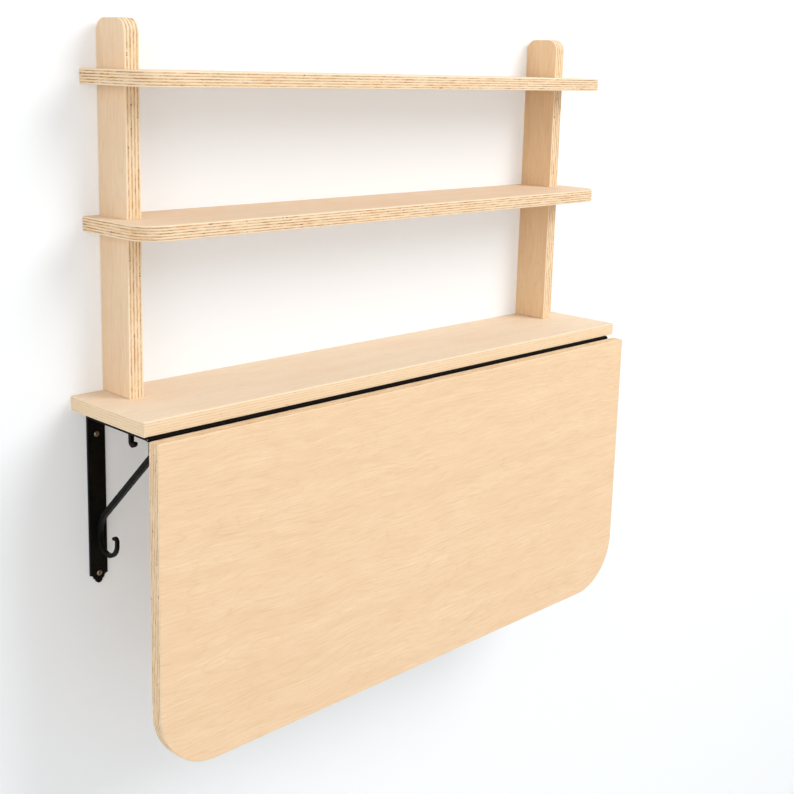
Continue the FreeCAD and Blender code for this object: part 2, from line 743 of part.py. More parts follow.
def stay_bracket(side, name, on_board):
    """Pressed angle plate: a flange screwed to the wood and an ear that carries a rivet."""
    layer = 0 if on_board else 3
    label = f"stay_bracket_{'board' if on_board else 'leaf'}_{name}"
    body = new_body(label, f"{side} * {STAY_X}", AXIS_Y, AXIS_Z)
    along_wood = "stay_reach" if on_board else "(-stay_reach)"
    ear_start = stay_layer(layer)
    if on_board:
        flange = ("(stay_plate - stay_plate_width)", "stay_plate")
    else:
        flange = (ear_start, f"({ear_start} + stay_plate_width)")
    inward = -side
    plate_x = [f"{inward} * {v}" for v in (flange if inward > 0 else flange[::-1])]
    plate = new_sketch(body, "Flange", "XY" if on_board else "XZ", f"{AXIS_DROP} - stay_plate")
    box_outline(plate, plate_x[0], f"{along_wood} - stay_plate_length / 2",
                plate_x[1], f"{along_wood} + stay_plate_length / 2")
    pad(body, plate, "stay_plate")
    start = f"{inward} * {ear_start}" if inward > 0 else f"-({ear_start} + stay_plate)"
    ear = new_sketch(body, "Ear", "YZ", start)
    half = "(ear_width / 2)"
    if on_board:
        contour(ear, [
            (f"stay_reach - {half}", f"{AXIS_DROP} - stay_plate / 2"),
            (f"stay_reach - {half}", "-stay_offset", half, 1),
            ("stay_reach", f"-stay_offset - {half}", half, 1),
            (f"stay_reach + {half}", "-stay_offset"),
            (f"stay_reach + {half}", f"{AXIS_DROP} - stay_plate / 2"),
        ])
        centre = ("stay_reach", "-stay_offset")
    else:
        contour(ear, [
            (f"stay_plate / 2 - {AXIS_DROP}", f"-stay_reach - {half}"),
            ("stay_offset", f"-stay_reach - {half}", half, 1),
            (f"stay_offset + {half}", "-stay_reach", half, 1),
            ("stay_offset", f"-stay_reach + {half}"),
            (f"stay_plate / 2 - {AXIS_DROP}", f"-stay_reach + {half}"),
        ])
        centre = ("stay_offset", "-stay_reach")
    pad(body, ear, "stay_plate")
    drill(body, "RivetHole", "YZ", start, *centre, "rivet_radius + rivet_seat",
          "stay_plate", True)
    hole_x = f"({stay_screw_x(side, layer)} - {side} * {STAY_X})"
    hole = drill(
        body, "ScrewHole", "XY" if on_board else "XZ", f"{AXIS_DROP} - stay_plate", hole_x,
        f"{along_wood} - {STAY_SCREW_PITCH} / 2", SMALL_SCREW_HOLE,
        "stay_plate", True,
    )
    repeat(body, [hole], ("Y" if on_board else "Z", STAY_SCREW_PITCH, "2"))
    return body


def link(label, side, layer, start, end, end_fit):
    """Flat link with round ends from one pivot to the next, drawn level and then turned. It turns
    on the rivet at its start; end_fit is the clearance round the one at its end."""
    body = new_body(label)
    run = [f"({b} - {a})" for a, b in zip(start, end)]
    length = f"sqrt(pow({run[0]}; 2) + pow({run[1]}; 2))"
    near = stay_layer(layer) if side < 0 else f"-({stay_layer(layer)} + link_thickness)"
    outline = new_sketch(body, "Outline", "YZ", near)
    half = "(link_width / 2)"
    contour(outline, [
        ("0", half, half, 1),
        (f"-{half}", "0", half, 1),
        ("0", f"-{half}"),
        (length, f"-{half}", half, 1),
        (f"{length} + {half}", "0", half, 1),
        (length, half),
    ])
    pad(body, outline, "link_thickness")
    drill(body, "StartHole", "YZ", near, "0", "0", "rivet_radius + rivet_clearance",
          "link_thickness", True)
    drill(body, "EndHole", "YZ", near, length, "0", "rivet_radius + " + end_fit,
          "link_thickness", True)
    turn_axis = FreeCAD.Vector(1, 0, 0)
    body.Placement.Rotation = FreeCAD.Rotation(turn_axis, 1)
    body.setExpression("Placement.Rotation.Angle", named(f"atan2({run[1]}; {run[0]})"))
    places = (f"{side} * {STAY_X}", f"{AXIS_Y} + {start[0]}", f"{AXIS_Z} + {start[1]}")
    for axis, place in zip("xyz", places):
        body.setExpression("Placement.Base." + axis, named(place))
    return body


# Pivots in the Y-Z plane, from the hinge axis, with the leaf hanging.
BOARD_PIVOT = ("stay_reach", "(-stay_offset)")
LEAF_PIVOT = ("stay_offset", "(-stay_reach)")
ELBOW = ("(stay_reach + stay_offset)", "(-stay_offset - stay_reach)")


def rivet(label, side, pivot, first, last, loose_first):
    """Rivet through two neighbouring layers, its head clear of the layer that turns on it."""
    body = new_body(label, f"{side} * {STAY_X}", f"{AXIS_Y} + {pivot[0]}", f"{AXIS_Z} + {pivot[1]}")
    thick = {0: "stay_plate", 1: "link_thickness", 2: "link_thickness", 3: "stay_plate"}
    low = stay_layer(first)
    high = f"({stay_layer(last)} + {thick[last]})"
    low = f"({low} - layer_gap)" if loose_first else low
    high = high if loose_first else f"({high} + layer_gap)"
    profile = new_sketch(body, "Profile", "XY")
    at = [f"{-side} * {v}" for v in (f"({low} - rivet_head)", low, high, f"({high} + rivet_head)")]
    corners = [
        (at[0], "0"), (at[0], "rivet_head_radius"), (at[1], "rivet_head_radius"),
        (at[1], "rivet_radius"), (at[2], "rivet_radius"), (at[2], "rivet_head_radius"),
        (at[3], "rivet_head_radius"), (at[3], "0"),
    ]
    contour(profile, corners)
    turned(body, profile, "H_Axis")
    return body


# ---------------------------------------------------------------- screws


def screws(label, way, at, radius, head, length, *rows, round_head=True, neck=None):
    """Screws of one kind as separate solids: one is turned, the rest are its copies in rows.

    at is the first screw's seat under its head. The shank points up, in (+Y) or out (-Y). neck is
    the radius and length of a thinner plain part under the head.
    """
    body = new_body(label, *at)
    sketch_plane, axis, sign = {
        "up": ("XZ", "V_Axis", 1), "in": ("XY", "V_Axis", 1), "out": ("XY", "V_Axis", -1),
    }[way]
    profile = new_sketch(body, "Profile", sketch_plane)
    if round_head:
        flat, crown, edge = (f"({head} * {s})" for s in ("head_crown", "head_crown", "head_rim"))
        under = neck[0] if neck else radius
        corners = [("0", f"-{crown}"), (flat, f"-{crown}"), (head, f"-{edge}"), (head, "0"),
                   (under, "0")]
    else:
        corners = [("0", "0"), (head, "0"), (radius, f"{head} - {radius}")]
    if neck:
        corners += [neck, (radius, neck[1])]
    corners += [(radius, f"{length} - {radius}"), (f"{radius} * screw_point", length),
                ("0", length)]
    if sign < 0:
        corners = [(x, f"-({y})") for x, y in corners][::-1]
    contour(profile, corners)
    one = turned(body, profile, axis)
    repeat(body, [one], *rows)
    return body


def all_screws():
    """Every fastener, each kind and place as one node of separate screws."""
    yield screws(
        "wall_screws", "in", (f"-{BRACKET_X}", "-strap_thickness", f"{UNDERSIDE} - wall_screw_first"),
        "wall_screw_radius", "wall_screw_head", "wall_screw_length",
        ("X", f"2 * {BRACKET_X}", "2"), ("-Z", WALL_SCREW_PITCH, "2"),
        neck=("wall_screw_neck", "(strap_thickness + wall_screw_neck_spare)"),
    )
    yield screws(
        "arm_screws", "up", (f"-{BRACKET_X}", "-arm_screw_first", f"{UNDERSIDE} - arm_thickness"),
        "arm_screw_radius", "arm_screw_head", "arm_screw_length",
        ("X", f"2 * {BRACKET_X}", "2"), ("-Y", ARM_SCREW_PITCH, "2"),
    )
    yield screws(
        "upright_screws", "up", (f"-{UPRIGHT_X}", "-upright_screw_margin", UNDERSIDE),
        "long_screw_radius", "long_screw_head", "upright_screw_length",
        ("X", f"2 * {UPRIGHT_X}", "2"), ("-Y", UPRIGHT_SCREW_PITCH, "2"), round_head=False,
    )
    yield screws(
        "shelf_screws", "out", (f"-{UPRIGHT_X}", "0", f"{LOWER_SHELF_Z} + ply / 2"),
        "long_screw_radius", "long_screw_head", "shelf_screw_length",
        ("X", f"2 * {UPRIGHT_X}", "2"), ("Z", SHELF_PITCH, "2"), round_head=False,
    )
    seat = f"{AXIS_DROP} - hinge_thickness"
    yield screws(
        "hinge_screws_board", "up",
        (FIRST_HINGE_SCREW, f"{AXIS_Y} + hinge_screw_line", f"{AXIS_Z} + {seat}"),
        "small_screw_radius", "small_screw_head", "small_screw_length",
        ("X", HINGE_SCREW_PITCH, "hinge_screw_count"),
    )
    yield screws(
        "hinge_screws_leaf", "out",
        (FIRST_HINGE_SCREW, f"{AXIS_Y} - ({seat})", f"{AXIS_Z} - hinge_screw_line"),
        "small_screw_radius", "small_screw_head", "small_screw_length",
        ("X", HINGE_SCREW_PITCH, "hinge_screw_count"),
    )
    seat = f"{AXIS_DROP} - stay_plate"
    yield screws(
        "stay_screws_board", "up",
        (stay_screw_x(-1, 0), f"{AXIS_Y} + stay_reach - {STAY_SCREW_PITCH} / 2", f"{AXIS_Z} + {seat}"),
        "small_screw_radius", "small_screw_head", "small_screw_length",
        ("X", f"2 * {stay_screw_x(1, 0)}", "2"), ("Y", STAY_SCREW_PITCH, "2"),
    )
    yield screws(
        "stay_screws_leaf", "out",
        (stay_screw_x(-1, 3), f"{AXIS_Y} - ({seat})", f"{AXIS_Z} - stay_reach - {STAY_SCREW_PITCH} / 2"),
        "small_screw_radius", "small_screw_head", "small_screw_length",
        ("X", f"2 * {stay_screw_x(1, 3)}", "2"), ("Z", STAY_SCREW_PITCH, "2"),
    )


# ---------------------------------------------------------------- assembly

pieces = [fixed_board(), drop_leaf()]
pieces += [shelf("lower_shelf", LOWER_SHELF_Z), shelf("upper_shelf", UPPER_SHELF_Z)]
for side, name in SIDES:
    pieces += [
        upright(side, name),
        bracket_strap(side, name),
        bracket_arm(side, name),
        bracket_brace(side, name),
        bracket_hook(side, name),
        stay_bracket(side, name, True),
        stay_bracket(side, name, False),
        link("stay_upper_link_" + name, side, 1, BOARD_PIVOT, ELBOW, "rivet_seat"),
        link("stay_lower_link_" + name, side, 2, ELBOW, LEAF_PIVOT, "rivet_clearance"),
        rivet("stay_board_rivet_" + name, side, BOARD_PIVOT, 0, 1, False),
        rivet("stay_elbow_rivet_" + name, side, ELBOW, 1, 2, False),
        rivet("stay_leaf_rivet_" + name, side, LEAF_PIVOT, 2, 3, True),
    ]
pieces += [hinge_plate("hinge_plate_board", True), hinge_plate("hinge_plate_leaf", False)]
pieces += [hinge_pin(), *all_screws()]
doc.recompute()

for item in doc.Objects:
    if {"Invalid", "Error"} & set(item.State):
        raise ValueError(f"{item.Label} failed: {item.State}")
for piece in pieces:
    if piece.Shape.isNull() or not piece.Shape.isValid():
        raise ValueError(f"{piece.Label} has no valid shape")

os.makedirs("parts", exist_ok=True)
for piece in pieces:
    piece.Shape.exportStep(f"parts/{piece.Label}.step")
    print(f"{piece.Label}: {len(piece.Shape.Solids)} solids, {piece.Shape.Volume:.0f} mm3")
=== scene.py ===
import math
from functools import partial

import bpy
import numpy as np
from mathutils import Matrix, Vector


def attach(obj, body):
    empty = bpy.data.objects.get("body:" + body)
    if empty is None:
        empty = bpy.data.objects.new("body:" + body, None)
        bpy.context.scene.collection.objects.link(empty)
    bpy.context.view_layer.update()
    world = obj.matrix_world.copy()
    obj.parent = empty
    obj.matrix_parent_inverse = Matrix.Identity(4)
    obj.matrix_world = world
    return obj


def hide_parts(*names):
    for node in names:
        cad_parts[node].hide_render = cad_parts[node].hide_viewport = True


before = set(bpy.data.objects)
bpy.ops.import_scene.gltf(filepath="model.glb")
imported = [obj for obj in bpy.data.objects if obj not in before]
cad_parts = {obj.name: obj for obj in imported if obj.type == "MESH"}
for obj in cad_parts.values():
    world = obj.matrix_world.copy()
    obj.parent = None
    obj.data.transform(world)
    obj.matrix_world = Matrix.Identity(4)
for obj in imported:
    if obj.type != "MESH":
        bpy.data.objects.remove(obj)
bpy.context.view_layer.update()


# ---------------------------------------------------------------- fixed board
# The back section of the top is 18 mm birch plywood, eleven thin plies glued crosswise, sanded
# and left bare. Its edges are eased with sandpaper, so the plies show as fine lines all round.

MM = 0.001
PLY_SHEET = 18 * MM


def linear(colour):
    """Linear colour from an sRGB hex: c / 12.92 up to 0.04045, above it
    ((c + 0.055) / 1.055) ** 2.4."""
    parts = [int(colour[i:i + 2], 16) / 255 for i in (1, 3, 5)]
    return [c / 12.92 if c <= 0.04045 else ((c + 0.055) / 1.055) ** 2.4 for c in parts] + [1.0]


def step(tree, kind, links=(), **settings):
    """One shader node with its settings. Each link goes to the input at its place or of its name,
    and is a plain value, a socket, or a node whose first output is meant."""
    made = tree.nodes.new("ShaderNode" + kind)
    for setting, value in settings.items():
        setattr(made, setting, value)
    for place, value in links.items() if isinstance(links, dict) else enumerate(links):
        if isinstance(value, bpy.types.Node):
            value = value.outputs[0]
        if isinstance(value, bpy.types.NodeSocket):
            tree.links.new(value, made.inputs[place])
        else:
            made.inputs[place].default_value = value
    return made


def new_finish(name):
    """Empty material, with its node tree and its Principled shader."""
    finish = bpy.data.materials.new(name)
    finish.use_nodes = True
    return finish, finish.node_tree, finish.node_tree.nodes["Principled BSDF"]


def set_shader(tree, shader, **values):
    """Gives each value to the shader's socket of that name: a colour or number is set there, a
    node is linked to it."""
    for name, value in values.items():
        socket = shader.inputs[name.replace("_", " ")]
        if isinstance(value, bpy.types.Node):
            tree.links.new(value.outputs[0], socket)
        else:
            socket.default_value = value


# A Mix node takes its two colours on these inputs and gives the mixed one on this output. They
# go by number because its sockets for numbers and vectors have the same names.
UNDER, OVER, MIXED = 6, 7, 2


def birch_plywood(name, turn, shift, light, dark, thick=PLY_SHEET, plies=11, contrast=1.0):
    """Sanded, unfinished birch plywood: matt and pale, softly streaked faces, striped edges.

    The pattern is laid out on the sheet: X along the face grain, Y across it, Z through the
    plies, reached by a turn and a shift. The shift's last number puts the middle ply at zero, and
    its first two give each board another stretch of wood. Faces show rotary cut veneer: thin year
    rings, which are the lines where fifteen times a drawn-out noise is whole, and fibres, all
    bent sideways by a slow noise, over broad changes of tone and pinker clouds. Edges show the
    plies: floor of the depth counted in plies is the ply's number, the outermost two are clean
    and pale, every other one is darker end grain, and noise drawn out along each ply tears it
    into streaks and short open gaps. contrast is how strongly the edges show all that.
    """
    finish, tree, shader = new_finish(name)
    add = partial(step, tree)
    place = add("TexCoord").outputs["Object"]
    sheet = add("Mapping", {"Vector": place, "Location": shift, "Rotation": turn})
    along, across, through = add("SeparateXYZ", [sheet]).outputs
    # The figure wanders to the side by up to 16 mm, over about 110 mm.
    bend = add("TexNoise", {"Vector": sheet, "Scale": 1 / (110 * MM), "Detail": 1.0})
    wander = add("Math", [bend, 16 * MM, across], operation="MULTIPLY_ADD")
    bent = add("CombineXYZ", [along, wander])

    def grain(length, width, detail, start=0.0):
        """Noise drawn out along the grain, its grains about length by width in millimetres; start
        takes it from another place."""
        spread = add("Mapping", {
            "Vector": bent, "Scale": (1 / (length * MM), 1 / (width * MM), 0),
            "Location": (start, start, start),
        })
        return add("TexNoise", {"Vector": spread, "Scale": 1.0, "Detail": detail, "Roughness": 0.6})

    # Rotary cut face: fibres, drawn coarser than the half millimetre they are, wavy streaks a few
    # millimetres wide, wide soft bands, and the lines of the year rings.
    fibre = grain(30, 1.2, 2.0, 3.0)
    tone = add("Math", [fibre, 0.50], operation="MULTIPLY")
    for layer, share in ((grain(48, 3.0, 3.0, 7.0), 0.60), (grain(260, 22, 3.0, 5.0), 0.40)):
        tone = add("Math", [layer, share, tone], operation="MULTIPLY_ADD")
    ring = add("Math", [grain(320, 42, 1.0, 17.0), 15.0], operation="MULTIPLY")
    ring = add("Math", [ring, 0.5], operation="PINGPONG")
    line = add("MapRange", {"Value": ring, "From Max": 0.13, "To Min": 0.10, "To Max": 0.0})
    tone = add("Math", [tone, line])
    tone = add("Math", [tone, 0.43], operation="SUBTRACT", use_clamp=True)
    face = add("Mix", {"Factor": tone, UNDER: linear(light), OVER: linear(dark)}, data_type="RGBA")

    # Pinker clouds a hand wide, and short dark pores, drawn coarser than the tenth of a millimetre
    # they are.
    cloud = add("MapRange", {
        "Value": grain(160, 60, 1.0, 13.0), "From Min": 0.45, "From Max": 0.75, "To Max": 0.25,
    })
    face = add("Mix", {
        "Factor": cloud, UNDER: face.outputs[MIXED], OVER: linear("#EEC8A2"),
    }, data_type="RGBA")
    pore = add("Math", [grain(9, 0.9, 1.0, 9.0), 0.69], operation="GREATER_THAN")
    pore = add("Math", [pore, 0.22], operation="MULTIPLY")
    face = add("Mix", {
        "Factor": pore, UNDER: face.outputs[MIXED], OVER: linear("#BE8C58"),
    }, data_type="RGBA")

    # Edges: the depth in plies, ragged by about a third of a ply either way, gives each ply its
    # number and says where it is end grain.
    rag = 0.68
    ragged = add("TexNoise", {"Vector": sheet, "Scale": 1 / (4.5 * MM), "Detail": 2.0})
    count = add("Math", [through, plies / thick, (plies - rag) / 2], operation="MULTIPLY_ADD")
    depth = add("Math", [ragged, rag, count], operation="MULTIPLY_ADD")
    number = add("Math", [depth], operation="FLOOR")
    middle = add("Math", [depth, 0.5], operation="SUBTRACT")
    middle = add("Math", [middle, 1.0], operation="PINGPONG")
    crosswise = add("MapRange", {"Value": middle, "From Min": 0.42, "From Max": 0.85})

    def streaks(length, start):
        """Noise that runs along each ply for about length in millimetres, another in each ply."""
        spread = add("CombineXYZ", [
            add("Math", [along, 1 / (length * MM), start], operation="MULTIPLY_ADD"),
            add("Math", [across, 1 / (length * MM), start], operation="MULTIPLY_ADD"),
            add("Math", [number, 7.3], operation="MULTIPLY"),
        ])
        return add("TexNoise", {"Vector": spread, "Scale": 1.0, "Detail": 3.0, "Roughness": 0.7})

    # Torn brown end grain, honey coloured streaks, and dark gaps about a centimetre long.
    torn = add("MapRange", {
        "Value": streaks(22, 0.0), "From Min": 0.35, "From Max": 0.70,
        "To Min": 0.25, "To Max": 1.35,
    })
    shade = add("Math", [crosswise, torn], operation="MULTIPLY")
    shade = add("Math", [shade, 0.72 * contrast], operation="MULTIPLY", use_clamp=True)
    edge = add("Mix", {
        "Factor": shade, UNDER: linear("#F4DBB8"), OVER: linear("#A26C3C"),
    }, data_type="RGBA")
    warm = add("MapRange", {
        "Value": streaks(40, 4.0), "From Min": 0.50, "From Max": 0.70, "To Max": 0.45 * contrast,
    })
    edge = add("Mix", {
        "Factor": warm, UNDER: edge.outputs[MIXED], OVER: linear("#E0A561"),
    }, data_type="RGBA")
    gap = add("Math", [streaks(11, 9.0), 0.66], operation="GREATER_THAN")
    gap = add("Math", [gap, crosswise], operation="MULTIPLY")
    gap = add("Math", [gap, 0.80 * contrast], operation="MULTIPLY")
    edge = add("Mix", {
        "Factor": gap, UNDER: edge.outputs[MIXED], OVER: linear("#60391C"),
    }, data_type="RGBA")

    # The outer plies are 1.6 mm thick; what lies within 0.45 mm of a face is face, not edge.
    outer_ply, skin_deep = 1.6 * MM, 0.45 * MM
    from_middle = add("Math", [through], operation="ABSOLUTE")
    outermost = add("Math", [from_middle, thick / 2 - outer_ply], operation="GREATER_THAN")
    edge = add("Mix", {
        "Factor": outermost, UNDER: edge.outputs[MIXED], OVER: linear("#FAE4C2"),
    }, data_type="RGBA")
    on_face = add("Math", [from_middle, thick / 2 - skin_deep], operation="GREATER_THAN")
    colour = add("Mix", {
        "Factor": on_face, UNDER: edge.outputs[MIXED], OVER: face.outputs[MIXED],
    }, data_type="RGBA")
    tree.links.new(colour.outputs[MIXED], shader.inputs["Base Color"])
    rough = add("MapRange", {"Value": on_face, "To Min": 0.85, "To Max": 0.66})
    relief = add("Mix", {"Factor": on_face, "A": shade, "B": fibre}, data_type="FLOAT")
    bump = add("Bump", {"Strength": 0.25, "Distance": 0.12 * MM, "Height": relief})
    set_shader(tree, shader, Roughness=rough, Normal=bump, Specular_IOR_Level=0.25)
    return finish


def dress(finish, *names):
    """Gives CAD nodes their finish."""
    for name in names:
        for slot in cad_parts[name].material_slots:
            slot.material = finish


FLAT = (0, 0, 0)
# The board's tones are paler and less yellow than the leaf's: painted light, for the whiter light
# from above on its top.
board_wood = birch_plywood("sanded_birch_board", FLAT, (3.1, 1.7, 0), "#FBE8D0", "#E2C8A6",
                           contrast=0.3)
dress(board_wood, "fixed_board")


# ---------------------------------------------------------------- shelf unit
# Two plywood boards stand on edge on the fixed board with their top corners rounded, and two
# shelves are halved into them from the front. The uprights' grain runs up, the shelves' along.

SIDES = {"left": -1, "right": 1}
UPRIGHT_MIDDLE = 390 * MM
UPRIGHT_SHEET = 20 * MM
ON_EDGE = (0, math.pi / 2, 0)
# The light and the dark tone of each upright's wood. They differ as painted light: the right one's
# are darker and warmer, painted shade for the shade and bounced light on the side it turns to the
# left upright.
TONES_WITH_PAINTED_SHADE = {"left": ("#FBE2C3", "#D8B388"), "right": ("#F7D9B4", "#D1A878")}
for name, side in SIDES.items():
    shift = (5.0 + side, 2.3, side * UPRIGHT_MIDDLE)
    wood = birch_plywood("sanded_birch_upright_" + name, ON_EDGE, shift, *TONES_WITH_PAINTED_SHADE[name],
                         thick=UPRIGHT_SHEET, plies=9)
    dress(wood, "upright_" + name)

# The shelves' tones below are paler and less yellow than the leaf's: painted light, for the light
# from above on their tops.
SHELF_MIDDLES = {"lower_shelf": 212 * MM, "upper_shelf": 381 * MM}
for name, middle in SHELF_MIDDLES.items():
    shift = (11.0, 4.0 + 9 * middle, -middle)
    wood = birch_plywood("sanded_birch_" + name, FLAT, shift, "#F8E1C7", "#DCC09C", contrast=1.15)
    dress(wood, name)


# ---------------------------------------------------------------- wall brackets
# Each bracket is wrought iron painted satin black: a flat strap screwed to the wall, an angle
# section under the board, and a square bar bent from one to the other, its lower end drawn out
# thinner and rolled into a scroll. The hammer leaves the bar slightly uneven, its corners soft.


def black_iron(name, dent, gloss=0.09):
    """Iron under black paint: nearly black, with broad soft highlights, the paint's fine orange
    peel and shallow dents of the given size in millimetres. gloss is how much it mirrors."""
    finish, tree, shader = new_finish(name)
    add = partial(step, tree)
    place = add("TexCoord").outputs["Object"]
    dents = add("TexNoise", {"Vector": place, "Scale": 1 / (dent * MM), "Detail": 1.0})
    peel = add("TexNoise", {"Vector": place, "Scale": 1 / (0.5 * MM), "Detail": 2.0})
    worn = add("TexNoise", {"Vector": place, "Scale": 1 / (14 * MM), "Detail": 4.0})
    colour = add("Mix", {
        "Factor": worn, UNDER: linear("#080706"), OVER: linear("#141210"),
    }, data_type="RGBA")
    tree.links.new(colour.outputs[MIXED], shader.inputs["Base Color"])
    rough = add("MapRange", {
        "Value": worn, "From Min": 0.3, "From Max": 0.7, "To Min": 0.40, "To Max": 0.52,
    })
    shallow = add("Bump", {"Strength": 0.5, "Distance": 0.25 * MM, "Height": dents})
    fine = add("Bump", {"Strength": 0.25, "Distance": 0.04 * MM, "Height": peel, "Normal": shallow})
    set_shader(tree, shader, Roughness=rough, Normal=fine, Specular_IOR_Level=gloss)
    return finish


IRON = black_iron("satin_black_iron", 7)
for name in SIDES:
    dress(IRON, "bracket_strap_" + name, "bracket_arm_" + name)


def skin(rows):
    """Faces over rows of points, each row closed round, each end closed onto its row's middle."""
    count, around = rows.shape[:2]
    points = np.vstack([rows.reshape(-1, 3), rows[0].mean(axis=0), rows[-1].mean(axis=0)])
    low = np.arange(count - 1)[:, None] * around
    here = np.arange(around)[None, :]
    after = (here + 1) % around
    sides = np.stack([low + here, low + after, low + around + after, low + around + here], axis=-1)
    ring, then = here[0], after[0]
    top = (count - 1) * around
    start = np.stack([np.full(around, len(points) - 2), then, ring], axis=-1)
    end = np.stack([np.full(around, len(points) - 1), top + ring, top + then], axis=-1)
    return points, sides.reshape(-1, 4), np.vstack([start, end])


def outward(points, quads, triangles):
    """The same faces, turned about if the volume they enclose comes out negative: the volume is
    the sum over triangles of a . (b x c) / 6."""
    split = np.vstack([quads[:, [0, 1, 2]], quads[:, [0, 2, 3]], triangles])
    a, b, c = (points[split[:, i]] for i in range(3))
    if (a * np.cross(b, c)).sum() < 0:
        return quads[:, ::-1], triangles[:, ::-1]
    return quads, triangles


def new_piece(name, copies, finish, body, slot, *nodes, corner=35):
    """One object from a list of (points, quads, triangles), smooth but for corners past the given
    angle in degrees; it rides on the body and stands for the CAD nodes."""
    points, faces, base = [], [], 0
    for place, quads, triangles in copies:
        quads, triangles = outward(place, quads, triangles)
        points.append(place)
        faces += (quads + base).tolist() + (triangles + base).tolist()
        base += len(place)
    mesh = bpy.data.meshes.new(name)
    mesh.from_pydata(np.vstack(points).tolist(), [], faces)
    mesh.shade_smooth()
    mesh.set_sharp_from_angle(angle=math.radians(corner))
    mesh.materials.append(finish)
    piece = bpy.data.objects.new(name, mesh)
    bpy.context.scene.collection.objects.link(piece)
    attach(piece, body)
    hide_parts(*nodes)


def drawn_path(start, heading, bends, pitch=0.1 * MM):
    """Line in the Y-Z plane drawn by its curvature. bends lists (length, turn in degrees, left
    positive); the heading is the running sum of curvature over length, and the place the running
    sum of the heading's direction. Returns the points, headings and lengths run."""
    counts = [max(2, round(length / pitch)) for length, _ in bends]
    steps = np.concatenate([np.full(n, length / n) for n, (length, _) in zip(counts, bends)])
    turns = np.concatenate([np.full(n, math.radians(t) / n) for n, (_, t) in zip(counts, bends)])
    ends = math.radians(heading) + np.concatenate([[0], np.cumsum(turns)])
    middle = (ends[:-1] + ends[1:]) / 2
    moves = np.stack([np.cos(middle), np.sin(middle)], axis=-1) * steps[:, None]
    points = np.vstack([start, start + np.cumsum(moves, axis=0)])
    return points, ends, np.concatenate([[0], np.cumsum(steps)])


def forged_bar(x, path, widths, seed, every=9, around=40, soft=7.0, rounding=0.9):
    """Square bar along a path in the Y-Z plane, with one ring of points to every few of the path.

    The section is the rounded square |u|^n + |v|^n = (width / 2)^n, where n is soft. Its width
    runs between the given widths, shrinks over the last stretch at each end like a quarter circle
    so that the ends are soft, and goes in and out by a tenth of a millimetre, as hammer blows
    leave it: the sum of three slow waves, each the sine of a rate times the length run plus whole
    turns round the bar plus a phase.
    """
    points, headings, run = (a[::every] for a in path)
    width = np.interp(run, *np.array(widths).T)
    near = np.minimum(run, run[-1] - run)
    ends = np.sqrt(1 - (1 - np.clip(near / (width * rounding / 2), 0.02, 1)) ** 2)
    angle = np.linspace(0, 2 * math.pi, around, endpoint=False) + math.pi / around
    c, s = np.cos(angle), np.sin(angle)
    unit = (np.abs(c) ** soft + np.abs(s) ** soft) ** (-1 / soft)
    u, v = run[:, None] / MM, angle[None, :]
    waves = ((0.43, 2, 1.0), (0.71, -1, 2.1), (1.13, 3, 0.7))
    blows = sum(np.sin(rate * u + turns * v + phase * seed) for rate, turns, phase in waves)
    blows *= 0.035 * MM
    reach = (width * ends / 2)[:, None] * unit[None, :] + blows * ends[:, None]
    side = np.stack([-np.sin(headings), np.cos(headings)], axis=-1)
    yz = points[:, None, :] + (reach * s)[..., None] * side[:, None, :]
    return skin(np.dstack([x + reach * c, yz]))


# Places and sizes of the strap, the arm and the brace: bar, slope in degrees, and the radii of
# the bend, the sweep, the scroll and its curl.
BRACKET_X = 411.5 * MM
UNDERSIDE = -PLY_SHEET / 2
STRAP = ARM = 3 * MM
ARM_END, FOOT = -134 * MM, 30 * MM
BAR, BAR_TIP = 7 * MM, 4.2 * MM
FOOT_Z = UNDERSIDE - ARM - BAR / 2
SLOPE = 44
BEND, SWEEP, SCROLL, CURL = 6 * MM, 45 * MM, 19 * MM, 3.6 * MM
SCROLL_RISE, WELD = 3 * MM, 0.05 * MM

# The brace runs forward under the arm, bends back, comes straight down to the strap, sweeps
# upright along it, drawn out from there on, and rolls forward into the scroll. The straight
# stretch is as long as it takes for the drawn-out end to lie along the strap.
sweep_turn = 90 - SLOPE
drawn_out = SWEEP * math.radians(sweep_turn) + math.pi * (SCROLL + CURL) + SCROLL_RISE
at_strap = BAR + (BAR_TIP - BAR) * SWEEP * math.radians(sweep_turn) / drawn_out
strap_y = -STRAP - at_strap / 2 - WELD
foot_y = ARM_END - BEND * math.sin(math.radians(SLOPE))
swept = SWEEP * (1 - math.sin(math.radians(SLOPE)))
BRACE = (strap_y - foot_y - swept) / math.cos(math.radians(SLOPE))
stretches = [
    (FOOT, 0), (BEND * math.radians(180 - SLOPE), 180 - SLOPE), (BRACE, 0),
    (SWEEP * math.radians(sweep_turn), -sweep_turn), (math.pi * SCROLL, -180), (SCROLL_RISE, 0),
    (math.pi * CURL, -180),
]
brace_path = drawn_path(np.array([ARM_END + FOOT, FOOT_Z]), 180, stretches)
drawn_from = sum(length for length, _ in stretches[:3])
brace_widths = [(0, BAR), (drawn_from, BAR), (brace_path[2][-1], BAR_TIP)]

